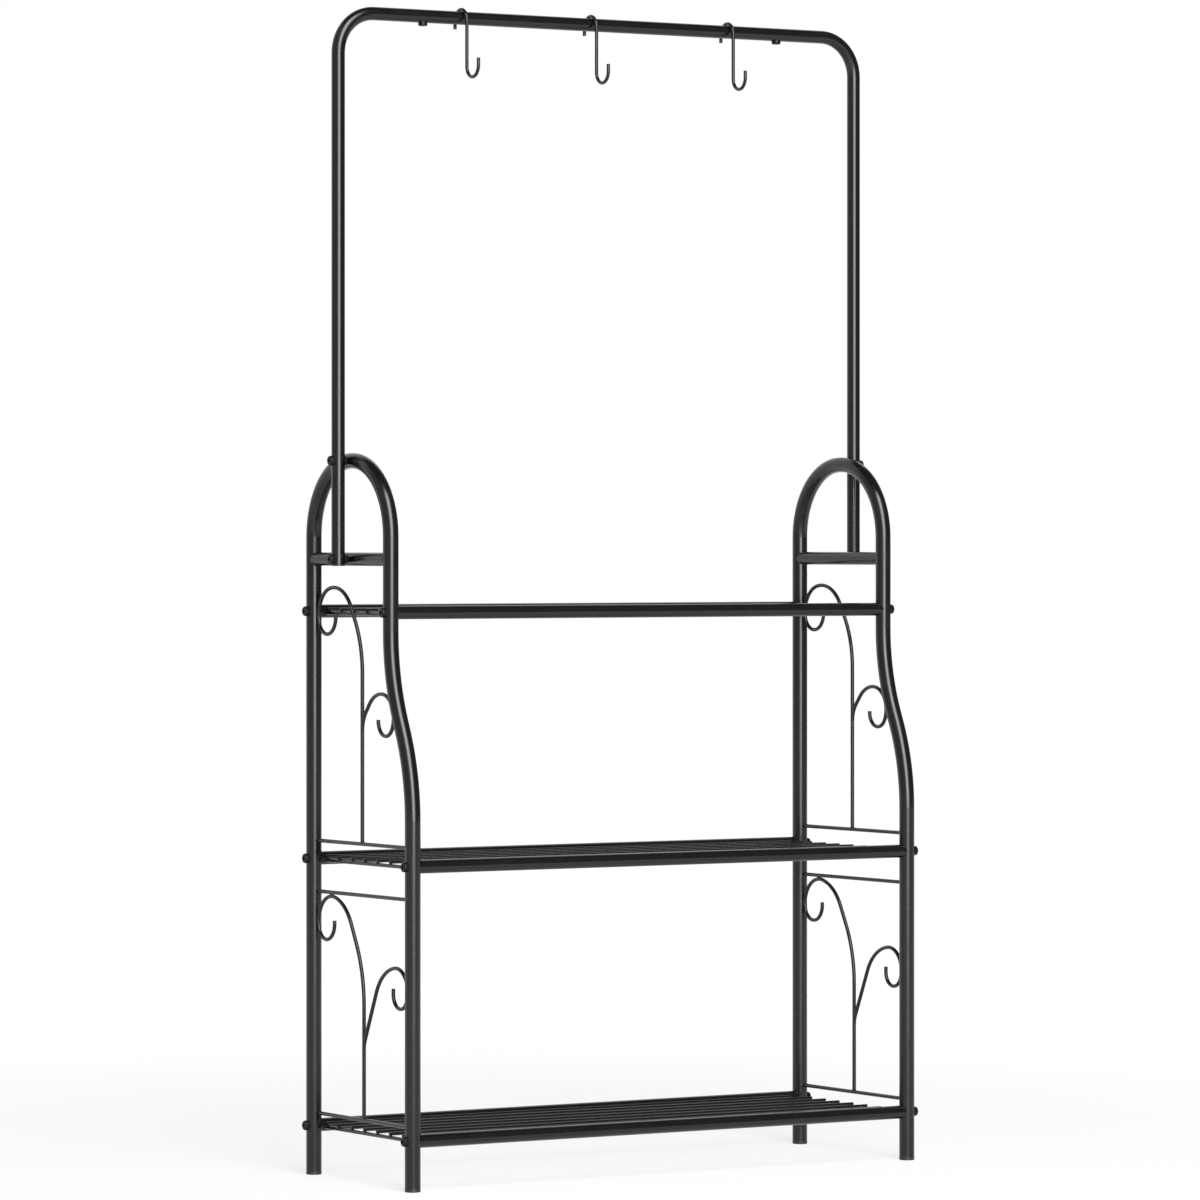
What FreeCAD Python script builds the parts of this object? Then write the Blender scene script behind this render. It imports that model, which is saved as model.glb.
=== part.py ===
import FreeCAD, Part
import math
import os

# Tiered plant stand: two bent-tube side frames, three wire shelves bolted between them, and a tall
# hanging rail with three S-hooks. Millimetres, X to the right, Y to the back, Z up from the floor.

# Tubes, bars and wires
leg_d = 22.0
leg_wall = 1.2
rail_d = 19.0
rail_wall = 1.2
scroll_d = 5.5
shelf_wire_d = 4.8
end_bar_d = 5.5
hook_d = 5.0

# Clearances
weld_gap = 0.1
slip_fit = 0.1
hole_play = 0.4
end_bar_gap = 0.6
wire_rail_gap = 0.3
hang_gap = 0.3

# Side frames: distances between tube axes, and heights of axes above the floor
leg_spacing = 828.0
leg_depth = 279.0
upper_setback = 60.6
bend_height = 640.6
bend_radius = 294.0
bend_turn = 24.7
arch_height = 1009.7
arch_radius = 106.6
cross_bar_height = 871.9
foot_flange = 4.5
foot_spigot = 14.0
foot_round = 1.0

# Scrolls: wires and tops from what is beside them, and each scroll's bends as (radius, turn in degrees):
# sway away from the stem, shoulder, crown and curl. A straight run after the sway brings it to the leg,
# and a straight tip ends it.
upper_base_over_shelf = 25.7
lower_top_under_shelf = 46.0
lower_base_over_shelf = 18.2
upper_stem_from_back = 138.9
lower_stem_from_back = 143.6
upper_stem_under_bar = 40.0
upper_branch_over_bend = 43.8
lower_branch_under_wire = 96.4
upper_stem_bends = ((141.5, 31.4), (57.0, 70.1), (41.0, 78.5), (24.7, 180.0))
lower_stem_bends = ((180.5, 28.4), (70.8, 48.6), (38.6, 103.0), (23.0, 181.0))
upper_branch_bends = ((39.7, 41.0), (44.0, 57.5), (32.6, 105.8), (20.6, 155.7))
lower_branch_bends = ((31.5, 24.9), (64.6, 58.6), (32.0, 117.7), (19.3, 158.8))
upper_stem_tip = 4.5
lower_stem_tip = 4.3
upper_branch_tip = 1.8
lower_branch_tip = 8.0
first_run = 1.0
touch_rounds = 40

# Shelves: heights of the rail axes
bottom_shelf_height = 69.8
middle_shelf_height = 448.0
top_shelf_height = 798.0
wire_pitch = 36.2
wire_end_gap = 1.0
wire_drop = 4.6
plug_length = 20.0

# Hanging rail
hanger_height = 1638.5
hanger_corner = 57.0
hanger_standoff = 1.6
upright_arm = 65.0
spigot_wall = 2.0
spigot_length = 54.0
screw_inset = 15.0
end_plug_flange = 2.0
end_plug_spigot = 3.5
end_plug_round = 0.7
spacer_d = 12.0
insert_d = 9.0
insert_length = 14.0

# Bolts and screws
bolt_d = 6.0
bolt_head_d = 14.0
bolt_head_h = 5.5
bolt_head_round = 2.4
bolt_socket = 5.0
bolt_socket_depth = 3.2
bolt_end_gap = 2.0
screw_d = 5.0
screw_head_d = 13.2
screw_head_h = 4.5
screw_head_round = 2.0
screw_socket = 4.0
screw_socket_depth = 2.6

# S-hooks
left_hook_x = -236.5
middle_hook_x = -20.5
right_hook_x = 213.5
hook_slack = 4.5
hook_lower_r = 16.0
hook_height = 102.5
hook_back_tip = 10.5
hook_front_tip = 10.2
hook_end_round = 0.6

# Places worked out from the sizes above
leg_x = leg_spacing / 2
leg_r = leg_d / 2
rail_r = rail_d / 2
back_y = leg_depth / 2
front_y = -leg_depth / 2
upper_front_y = front_y + upper_setback
arch_width = leg_depth - upper_setback
arch_centre_y = (upper_front_y + back_y) / 2
hanger_x = leg_x + leg_r + hanger_standoff + rail_r
hanger_foot = cross_bar_height - rail_r
seam_x = hanger_x - hanger_corner - upright_arm
screw_x = seam_x - screw_inset
rail_bore = rail_d - 2 * rail_wall
leg_bore = leg_d - 2 * leg_wall
upper_base_height = middle_shelf_height + upper_base_over_shelf
lower_top_height = middle_shelf_height - lower_top_under_shelf
lower_base_height = bottom_shelf_height + lower_base_over_shelf
upper_stem_top = cross_bar_height - upper_stem_under_bar
upper_branch_top = bend_height + upper_branch_over_bend
lower_branch_top = lower_top_height - lower_branch_under_wire
shelves = {
    "bottom_shelf": (front_y, bottom_shelf_height),
    "middle_shelf": (front_y, middle_shelf_height),
    "top_shelf": (upper_front_y, top_shelf_height),
}

SIDES = {"left": -1, "right": 1}
UP = FreeCAD.Vector(0, 0, 1)
DOWN = FreeCAD.Vector(0, 0, -1)
RIGHT = FreeCAD.Vector(1, 0, 0)
HEADING_UP = 90
SAME_POINT = 0.01


def at(x, y, z):
    return FreeCAD.Vector(x, y, z)


def trail(start, heading, steps):
    """Path of tangent steps in the YZ plane: a number is a straight run, a pair a radius and a left turn."""
    point = at(0, *start)
    angle = math.radians(heading)
    edges = []
    for step in steps:
        if isinstance(step, tuple):
            radius, degrees = step
            turn = math.radians(degrees)
            reach = math.copysign(radius, turn)
            centre = point + at(0, -math.sin(angle), math.cos(angle)) * reach
            middle = centre + at(0, math.sin(angle + turn / 2), -math.cos(angle + turn / 2)) * reach
            end = centre + at(0, math.sin(angle + turn), -math.cos(angle + turn)) * reach
            edges.append(Part.Arc(point, middle, end).toShape())
            angle += turn
        else:
            end = point + at(0, math.cos(angle), math.sin(angle)) * step
            edges.append(Part.LineSegment(point, end).toShape())
        point = end
    return Part.Wire(edges)


def moved(shape, x=0.0, y=0.0, z=0.0):
    copy = shape.copy()
    copy.translate(at(x, y, z))
    return copy


def bar(start, end, d):
    """Solid round bar between two points."""
    return Part.makeCylinder(d / 2, (end - start).Length, start, end - start)


def pipe(start, end, d, wall):
    """Round tube between two points."""
    return bar(start, end, d).cut(bar(start, end, d - 2 * wall))


def bent_bar(path, d):
    """Solid round bar along a path."""
    first = path.OrderedEdges[0]
    direction = first.tangentAt(first.FirstParameter)
    section = Part.Wire(Part.makeCircle(d / 2, path.OrderedVertexes[0].Point, direction))
    return path.makePipe(Part.Face(section))


def bent_pipe(path, d, wall):
    """Round tube along a path."""
    return bent_bar(path, d).cut(bent_bar(path, d - 2 * wall))


def rim(shape, centre):
    """The round edges of a shape that are centred on one point."""
    return [edge for edge in shape.Edges if edge.Closed and edge.CenterOfMass.isEqual(centre, SAME_POINT)]


def hexagon(centre, outward, across, depth):
    """Six-sided prism that reaches inward from a centre."""
    turn = FreeCAD.Rotation(UP, outward)
    radius = across / math.sqrt(3)
    angles = [k * math.pi / 3 for k in range(6)]
    corners = [centre + turn.multVec(at(math.cos(angle), math.sin(angle), 0) * radius) for angle in angles]
    return Part.Face(Part.makePolygon(corners + corners[:1])).extrude(outward * -depth)


def button_bolt(seat, outward, head, shank, socket, seat_r, tube):
    """Bolt with its rounded head shaped to the tube it sits on; head is d, height, round; shank d, length."""
    head_d, head_h, head_round = head
    shank_d, shank_length = shank
    across, depth = socket
    skirt = seat_r - math.sqrt(seat_r ** 2 - (head_d / 2) ** 2)
    top = seat + outward * head_h
    button = bar(seat - outward * skirt, top, head_d)
    button = button.makeFillet(head_round, rim(button, top))
    button = button.cut(hexagon(top, outward, across, depth)).cut(tube)
    shaft = bar(seat - outward * shank_length, top - outward * depth, shank_d)
    return button.fuse(shaft).removeSplitter()


def cap(mouth, into, d, bore, flange, spigot, rounding):
    """Push-in plastic cap: a flange as wide as the tube and a spigot that goes into its bore."""
    outer = mouth - into * flange
    disc = bar(outer, mouth, d)
    disc = disc.makeFillet(rounding, rim(disc, outer))
    return disc.fuse(bar(mouth, mouth + into * spigot, bore - 2 * slip_fit)).removeSplitter()


def save(name, *shapes):
    """Write one node; several shapes stay separate solids."""
    shape = shapes[0] if len(shapes) == 1 else Part.makeCompound(list(shapes))
    shape.exportStep("parts/" + name + ".step")


def side_path():
    """Axis of a side tube: back leg, arch, front leg with its S-bend."""
    turn = math.radians(bend_turn)
    slant = (upper_setback - 2 * bend_radius * (1 - math.cos(turn))) / math.sin(turn)
    half_bend = bend_radius * math.sin(turn) + slant / 2 * math.cos(turn)
    arch_start = arch_height - arch_radius
    back_leg = [arch_start - foot_flange]
    arch = [(arch_radius, 90), arch_width - 2 * arch_radius, (arch_radius, 90)]
    s_bend = [(bend_radius, -bend_turn), slant, (bend_radius, bend_turn)]
    front_leg = [arch_start - bend_height - half_bend, *s_bend, bend_height - half_bend - foot_flange]
    return trail((back_y, foot_flange), HEADING_UP, back_leg + arch + front_leg)


def scroll_path(y, top, bends, tip, hand, leg_axis, foot=None):
    """Axis of a scroll with its highest point at top and its curl just touching a leg; a stem has a foot."""
    sway, shoulder, crown, curl = [(radius, hand * turn) for radius, turn in bends]
    touch = leg_r + scroll_d / 2 + weld_gap
    run = first_run
    for _ in range(touch_rounds):
        shape = trail((y, 0), HEADING_UP, [sway, run, shoulder, crown, curl, tip])
        lift = top - shape.BoundBox.ZMax
        run += moved(shape, z=lift).distToShape(leg_axis)[0] - touch
    if foot is None:
        return trail((y, lift), HEADING_UP, [sway, run, shoulder, crown, curl, tip])
    return trail((y, foot), HEADING_UP, [lift - foot, sway, run, shoulder, crown, curl, tip])


def between_legs(shape, side_skin, middle):
    """The part of a piece across a side frame that lies between its legs, shaped to them."""
    return min(shape.cut(side_skin).Solids, key=lambda solid: solid.CenterOfMass.distanceToPoint(middle))


def build_side_frames():
    axis = side_path()
    bolt_hole = bolt_d + hole_play
    upper_stem_y = back_y - upper_stem_from_back
    lower_stem_y = back_y - lower_stem_from_back
    on_wire = scroll_d / 2 + weld_gap
    under_wire = scroll_d + weld_gap
    lower_stem_top = lower_top_height - under_wire
    upper_foot = upper_base_height + on_wire
    lower_foot = lower_base_height + on_wire
    stems = {
        "upper": scroll_path(upper_stem_y, upper_stem_top, upper_stem_bends, upper_stem_tip, -1, axis, upper_foot),
        "lower": scroll_path(lower_stem_y, lower_stem_top, lower_stem_bends, lower_stem_tip, -1, axis, lower_foot),
    }
    branches = {
        "upper": scroll_path(upper_stem_y, upper_branch_top, upper_branch_bends, upper_branch_tip, 1, axis),
        "lower": scroll_path(lower_stem_y, lower_branch_top, lower_branch_bends, lower_branch_tip, 1, axis),
    }
    wires = {"upper_base_wire": upper_base_height, "lower_top_wire": lower_top_height,
             "lower_base_wire": lower_base_height}
    for side, sign in SIDES.items():
        x = sign * leg_x
        outward = RIGHT * sign
        holes = [bar(at(x - leg_d, y, z), at(x + leg_d, y, z), bolt_hole)
                 for rail_front_y, z in shelves.values() for y in (rail_front_y, back_y)]
        arch_top = at(x, arch_centre_y, arch_height)
        holes.append(bar(arch_top, arch_top + outward * leg_d, insert_d + 2 * slip_fit))
        save(side + "_side_tube", bent_pipe(moved(axis, x), leg_d, leg_wall).cut(holes))
        side_skin = bent_bar(moved(axis, x), leg_d + 2 * weld_gap)

        cross_middle = at(x, arch_centre_y, cross_bar_height)
        socket = bar(cross_middle, cross_middle + outward * rail_d, insert_d + 2 * slip_fit)
        cross_ends = at(x, front_y, cross_bar_height), at(x, back_y, cross_bar_height)
        cross_bar = between_legs(pipe(*cross_ends, rail_d, rail_wall), side_skin, cross_middle)
        save(side + "_cross_bar", cross_bar.cut(socket))

        for level in stems:
            stem = moved(stems[level], x)
            stem_skin = bent_bar(stem, scroll_d + 2 * weld_gap)
            branch = bent_bar(moved(branches[level], x), scroll_d)
            save(side + "_" + level + "_stem_scroll", bent_bar(stem, scroll_d))
            save(side + "_" + level + "_branch_scroll", branch.cut(stem_skin))
        for name, height in wires.items():
            wire = bar(at(x, front_y, height), at(x, back_y, height), scroll_d)
            save(side + "_" + name, between_legs(wire, side_skin, at(x, arch_centre_y, height)))
        for end, y in (("front", front_y), ("back", back_y)):
            foot = cap(at(x, y, foot_flange), UP, leg_d, leg_bore, foot_flange, foot_spigot, foot_round)
            save(side + "_" + end + "_foot", foot)


def build_shelf(name, rail_front_y, height):
    """Two rails, two end bars, the long wires, and the threaded plugs and bolts of one shelf."""
    rails = {"front": rail_front_y, "back": back_y}
    wire_z = height + rail_r - wire_drop - shelf_wire_d / 2
    end_bar_z = wire_z - shelf_wire_d / 2 - weld_gap - end_bar_d / 2
    end_bar_x = leg_x - leg_r - end_bar_gap - end_bar_d / 2
    plug_face = leg_x - leg_r - weld_gap
    plugs = []
    bolts = []
    for place, y in rails.items():
        rail = pipe(at(-leg_x, y, height), at(leg_x, y, height), rail_d, rail_wall)
        for sign in SIDES.values():
            foot = at(sign * leg_x, y, height - leg_d)
            leg = bar(foot, foot + UP * 2 * leg_d, leg_d + 2 * weld_gap)
            rail = rail.cut(leg)
            face = at(sign * plug_face, y, height)
            inner = face - RIGHT * sign * plug_length
            plug = bar(inner, face, rail_bore - 2 * slip_fit)
            plugs.append(plug.cut(bar(inner, face, bolt_d + 2 * slip_fit)))
            bolts.append(button_bolt(at(sign * (leg_x + leg_r), y, height), RIGHT * sign,
                                     (bolt_head_d, bolt_head_h, bolt_head_round),
                                     (bolt_d, leg_d + plug_length - bolt_end_gap),
                                     (bolt_socket, bolt_socket_depth), leg_r, leg))
        save(name + "_" + place + "_rail", rail)
    rail_skins = [bar(at(-leg_x, y, height), at(leg_x, y, height), rail_d + 2 * weld_gap)
                  for y in rails.values()]
    for side, sign in SIDES.items():
        front_end = at(sign * end_bar_x, rail_front_y, end_bar_z)
        back_end = at(sign * end_bar_x, back_y, end_bar_z)
        save(name + "_" + side + "_end_bar", bar(front_end, back_end, end_bar_d).cut(rail_skins))
    margin = rail_r + shelf_wire_d / 2 + wire_rail_gap
    gaps = int((back_y - rail_front_y - 2 * margin) / wire_pitch)
    first_y = (rail_front_y + back_y - gaps * wire_pitch) / 2
    wire_end = leg_x - leg_r - wire_end_gap
    save(name + "_wires", *[bar(at(-wire_end, first_y + k * wire_pitch, wire_z),
                                at(wire_end, first_y + k * wire_pitch, wire_z), shelf_wire_d)
                            for k in range(gaps + 1)])
    save(name + "_rail_plugs", *plugs)
    save(name + "_bolts", *bolts)


def build_hanging_rail():
    y = arch_centre_y
    bolt_hole = bolt_d + hole_play
    screw_hole = screw_d + hole_play
    spacers = []
    inserts = []
    bolts = []
    spigots = []
    screws = []
    top_bar = pipe(at(-seam_x, y, hanger_height), at(seam_x, y, hanger_height), rail_d, rail_wall)
    bar_skin = bar(at(-seam_x, y, hanger_height), at(seam_x, y, hanger_height), rail_d + 2 * weld_gap)
    for side, sign in SIDES.items():
        outward = RIGHT * sign
        mouth = at(sign * hanger_x, y, hanger_foot + end_plug_flange)
        bend = at(sign * hanger_x, y, hanger_height - hanger_corner)
        bend_centre = bend - outward * hanger_corner
        corner = bend_centre + (outward + UP).normalize() * hanger_corner
        arm = bend_centre + UP * hanger_corner
        seam = at(sign * seam_x, y, hanger_height)
        path = Part.Wire([Part.LineSegment(mouth, bend).toShape(), Part.Arc(bend, corner, arm).toShape(),
                          Part.LineSegment(arm, seam).toShape()])
        upright = bent_pipe(path, rail_d, rail_wall)
        skin = bar(mouth, bend, rail_d + 2 * weld_gap)
        cross_front = at(sign * leg_x, upper_front_y, cross_bar_height)
        cross_back = at(sign * leg_x, back_y, cross_bar_height)
        frame_skins = {
            arch_height: (leg_r, bent_bar(moved(side_path(), sign * leg_x), leg_d + 2 * weld_gap)),
            cross_bar_height: (rail_r, bar(cross_front, cross_back, rail_d + 2 * weld_gap)),
        }
        for height, (tube_r, tube_skin) in frame_skins.items():
            outside = at(sign * hanger_x, y, height)
            inside = at(sign * leg_x, y, height)
            upright = upright.cut(bar(outside - outward * rail_d, outside + outward * rail_d, bolt_hole))
            spacer = bar(inside, outside, spacer_d).cut(bar(inside, outside, bolt_hole))
            spacers.append(spacer.cut(skin).cut(tube_skin))
            flush = inside + outward * (math.sqrt(tube_r ** 2 - (insert_d / 2) ** 2) - slip_fit)
            deep = flush - outward * insert_length
            inserts.append(bar(deep, flush, insert_d).cut(bar(deep, flush, bolt_d + 2 * slip_fit)))
            seat = outside + outward * rail_r
            bolts.append(button_bolt(seat, outward, (bolt_head_d, bolt_head_h, bolt_head_round),
                                     (bolt_d, (seat - deep).Length - bolt_end_gap),
                                     (bolt_socket, bolt_socket_depth), rail_r, skin))
        save(side + "_hanger_upright", upright)
        plug = cap(mouth, UP, rail_d, rail_bore, end_plug_flange, end_plug_spigot, end_plug_round)
        save(side + "_upright_plug", plug)

        screw_place = at(sign * screw_x, y, hanger_height)
        below = screw_place + DOWN * rail_d
        half_spigot = RIGHT * (spigot_length / 2)
        spigot = pipe(seam - half_spigot, seam + half_spigot, rail_bore - 2 * slip_fit, spigot_wall)
        top_bar = top_bar.cut(bar(below, screw_place, screw_hole))
        spigots.append(spigot.cut(bar(below, screw_place, screw_d + 2 * slip_fit)))
        screws.append(button_bolt(screw_place + DOWN * rail_r, DOWN,
                                  (screw_head_d, screw_head_h, screw_head_round),
                                  (screw_d, rail_wall + spigot_wall + bolt_end_gap),
                                  (screw_socket, screw_socket_depth), rail_r, bar_skin))
    save("hanging_bar", top_bar)
    save("bar_spigots", *spigots)
    save("bar_screws", *screws)
    save("hanger_spacers", *spacers)
    save("hanger_inserts", *inserts)
    save("hanger_bolts", *bolts)


def build_hooks():
    """S-hooks that hang over the bar, with the lower curl open to the front."""
    upper_r = (rail_d + hook_d) / 2 + hook_slack
    peak = hanger_height + rail_r + hang_gap + hook_d / 2
    shank = hook_height - hook_d - upper_r - hook_lower_r
    start = (arch_centre_y + upper_r, peak - upper_r - hook_back_tip)
    steps = [hook_back_tip, (upper_r, 180), shank, (hook_lower_r, -180), hook_front_tip]
    path = trail(start, HEADING_UP, steps)
    wire = bent_bar(path, hook_d)
    for vertex in (path.OrderedVertexes[0], path.OrderedVertexes[-1]):
        wire = wire.makeFillet(hook_end_round, rim(wire, vertex.Point))
    for name, x in (("left", left_hook_x), ("middle", middle_hook_x), ("right", right_hook_x)):
        save(name + "_hook", moved(wire, x))


os.makedirs("parts", exist_ok=True)
build_side_frames()
for name, (rail_front_y, height) in shelves.items():
    build_shelf(name, rail_front_y, height)
build_hanging_rail()
build_hooks()
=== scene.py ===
"""Finishes, weld beads, studio and camera for a tiered plant stand of powder-coated tube and wire."""

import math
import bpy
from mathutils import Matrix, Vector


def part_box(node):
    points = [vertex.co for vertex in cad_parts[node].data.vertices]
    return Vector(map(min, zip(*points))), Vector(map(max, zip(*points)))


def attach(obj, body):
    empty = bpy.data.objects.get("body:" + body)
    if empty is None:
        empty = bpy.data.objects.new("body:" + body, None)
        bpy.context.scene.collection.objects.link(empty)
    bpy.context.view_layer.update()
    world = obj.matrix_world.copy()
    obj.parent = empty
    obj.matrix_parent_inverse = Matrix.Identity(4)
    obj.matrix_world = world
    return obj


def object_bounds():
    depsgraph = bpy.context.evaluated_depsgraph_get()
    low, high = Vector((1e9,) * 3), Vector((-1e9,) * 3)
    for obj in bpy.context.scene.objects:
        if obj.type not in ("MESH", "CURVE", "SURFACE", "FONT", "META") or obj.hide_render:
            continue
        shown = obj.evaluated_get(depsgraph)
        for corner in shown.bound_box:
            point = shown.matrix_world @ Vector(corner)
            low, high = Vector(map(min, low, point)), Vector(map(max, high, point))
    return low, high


bl_info = {
    "name": "Tiered Plant Stand",
    "version": (1, 0, 0),
    "blender": (4, 5, 0),
    "location": "3D View > Sidebar > Plant Stand",
    "description": "Finishes, weld beads, studio and camera for a powder-coated plant stand",
    "category": "Object",
}

import bmesh
import bpy
from bpy.props import FloatProperty, FloatVectorProperty, IntProperty, PointerProperty
from mathutils import Matrix, Vector
from mathutils.bvhtree import BVHTree

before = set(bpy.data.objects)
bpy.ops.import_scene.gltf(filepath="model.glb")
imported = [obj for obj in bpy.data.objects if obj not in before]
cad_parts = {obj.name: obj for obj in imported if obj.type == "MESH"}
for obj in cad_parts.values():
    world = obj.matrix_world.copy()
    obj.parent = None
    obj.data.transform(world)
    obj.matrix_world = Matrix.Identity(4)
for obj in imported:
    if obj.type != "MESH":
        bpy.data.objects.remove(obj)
CAD_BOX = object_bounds()

STAND = "stand"
SIDES = ("left", "right")
SHELVES = ("bottom_shelf", "middle_shelf", "top_shelf")
LEVELS = ("upper", "lower")
PANEL_WIRES = ("upper_base_wire", "lower_top_wire", "lower_base_wire")

# Endings of the node names that share a finish
TUBES = ("_side_tube", "_cross_bar", "_rail", "_hanger_upright", "hanging_bar")
WIRES = ("_scroll", "_wire", "_wires", "_end_bar")
HOOKS = ("_hook",)
BOLTS = ("_bolts", "_screws")
PLASTIC = ("_foot", "_upright_plug")
RUBBER = ("_spacers",)
INNER_STEEL = ("_rail_plugs", "_spigots", "_inserts")

X_AXIS = Vector((1, 0, 0))
Y_AXIS = Vector((0, 1, 0))
Z_AXIS = Vector((0, 0, 1))

# Places of the colour sockets of a mix node
MIX_FIRST = 6
MIX_SECOND = 7
MIX_RESULT = 2

# Noise in the surfaces: its layers, the range of most of its values, and the strength of its bumps
GRAIN_LAYERS = 2.0
PATCH_LAYERS = 3.0
PATCH_LOW = 0.3
PATCH_HIGH = 0.7
PEEL_STRENGTH = 0.5

# How much rougher the coat is on wires and on hooks than on tubes
WIRE_ROUGHER = 0.03
HOOK_ROUGHER = 0.02

# Beads: sides of the section, fewest ripples, and how far they stand out as a share of their thickness
BEAD_SIDES = 8
FEWEST_RIPPLES = 3
BEAD_LIFT = 0.25

# Least reach of an end bar's bead round its rail, as a share of the reach at the bar's middle
LEAST_REACH = 0.5

# Tacks: length as a share of the tack length, then width and depth as shares of the wire's radius
FOOT_TACK = (1.1, 2.15, 1.1)
FORK_TACK = (1.0, 1.2, 0.35)
SIDE_TACK = (1.0, 1.5, 0.9)
SHELF_TACK = (0.55, 2.1, 0.8)

# Lumps of a tack: fineness of its ball, height as a share of its size, and waves along, across and up
TACK_FINENESS = 3
LUMP_HEIGHT = 0.10
LUMP_WAVES = (9, 4, 7)

# How near the stem a branch's points belong to the fork, as a share of the wire's radius
FORK_MARGIN = 0.2

# Studio dome: its steps, the turns to the left at which its walls start and end, its top, and its soft edges
DOME_COLUMNS = 60
DOME_ROWS = 18
WALL_START = math.radians(80)
WALL_END = math.radians(335)
DOME_TOP = math.radians(89)
SOFT_EDGE = math.radians(4)

# Shares of the radius, to the left, where the right wall's brightness ends and the left wall's starts
RIGHT_WALL = -0.28
LEFT_WALL = 0.12

# Camera: width of the sensor in millimetres, and the nearest and farthest distance that it shows
SENSOR_WIDTH = 36.0
CLIP_START = 0.1
CLIP_END = 200.0


class PlantStandFinish(bpy.types.PropertyGroup):
    """Colours and gloss of the stand's surfaces."""

    coat: FloatVectorProperty(
        name="Coat", description="Colour of the powder coat on tubes, wires and hooks",
        subtype="COLOR", size=3, min=0, max=1, default=(0.0042, 0.0042, 0.0041))
    coat_roughness: FloatProperty(
        name="Coat Roughness", description="Roughness of the powder coat",
        subtype="FACTOR", min=0, max=1, default=0.20)
    coat_shine: FloatProperty(
        name="Coat Shine", description="How strongly the powder coat reflects, 0.5 being usual for plastics",
        subtype="FACTOR", min=0, max=1, default=0.44)
    bolt: FloatVectorProperty(
        name="Bolts", description="Colour of the blackened bolts and screws",
        subtype="COLOR", size=3, min=0, max=1, default=(0.004, 0.004, 0.004))
    bolt_roughness: FloatProperty(
        name="Bolt Roughness", description="Roughness of the blackened bolts and screws",
        subtype="FACTOR", min=0, max=1, default=0.35)
    bolt_shine: FloatProperty(
        name="Bolt Shine", description="How strongly the bolts and screws reflect, 0.5 being usual",
        subtype="FACTOR", min=0, max=1, default=0.22)
    plastic: FloatVectorProperty(
        name="Plastic", description="Colour of the feet and end plugs",
        subtype="COLOR", size=3, min=0, max=1, default=(0.010, 0.010, 0.010))
    plastic_roughness: FloatProperty(
        name="Plastic Roughness", description="Roughness of the feet and end plugs",
        subtype="FACTOR", min=0, max=1, default=0.46)
    rubber: FloatVectorProperty(
        name="Rubber", description="Colour of the spacers behind the uprights",
        subtype="COLOR", size=3, min=0, max=1, default=(0.003, 0.003, 0.003))
    rubber_roughness: FloatProperty(
        name="Rubber Roughness", description="Roughness of the spacers behind the uprights",
        subtype="FACTOR", min=0, max=1, default=0.6)
    rubber_shine: FloatProperty(
        name="Rubber Shine", description="How strongly the spacers reflect, 0.5 being usual",
        subtype="FACTOR", min=0, max=1, default=0.15)
    steel: FloatVectorProperty(
        name="Zinc", description="Colour of the zinc-plated pieces inside the tubes",
        subtype="COLOR", size=3, min=0, max=1, default=(0.50, 0.50, 0.51))
    steel_roughness: FloatProperty(
        name="Zinc Roughness", description="Roughness of the zinc-plated pieces inside the tubes",
        subtype="FACTOR", min=0, max=1, default=0.36)


class PlantStandWelds(bpy.types.PropertyGroup):
    """Sizes of the weld beads under the coat."""

    tube_bead: FloatProperty(
        name="Tube Bead", description="Half the thickness of a bead round a cross bar's end",
        subtype="DISTANCE", unit="LENGTH", min=0.0002, max=0.004, default=0.0006)
    wire_bead: FloatProperty(
        name="Wire Bead", description="Half the thickness of a bead round a wire's end",
        subtype="DISTANCE", unit="LENGTH", min=0.0002, max=0.004, default=0.00045)
    tack_length: FloatProperty(
        name="Tack Length", description="Length of a tack where two wires, or a wire and a leg, touch",
        subtype="DISTANCE", unit="LENGTH", min=0.001, max=0.02, default=0.008)
    ripple: FloatProperty(
        name="Ripple", description="How much a bead swells and narrows along its length",
        subtype="FACTOR", min=0, max=0.5, default=0.12)
    ripple_pitch: FloatProperty(
        name="Ripple Pitch", description="Distance between two ripples of a bead",
        subtype="DISTANCE", unit="LENGTH", min=0.0005, max=0.01, default=0.0018)
    shelf_wire_pitch: FloatProperty(
        name="Shelf Wire Pitch", description="Distance between neighbouring shelf wires",
        subtype="DISTANCE", unit="LENGTH", min=0.01, max=0.1, default=0.0362)
    segments: IntProperty(
        name="Segments", description="Steps round a bead's loop",
        min=12, max=96, default=40)


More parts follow.
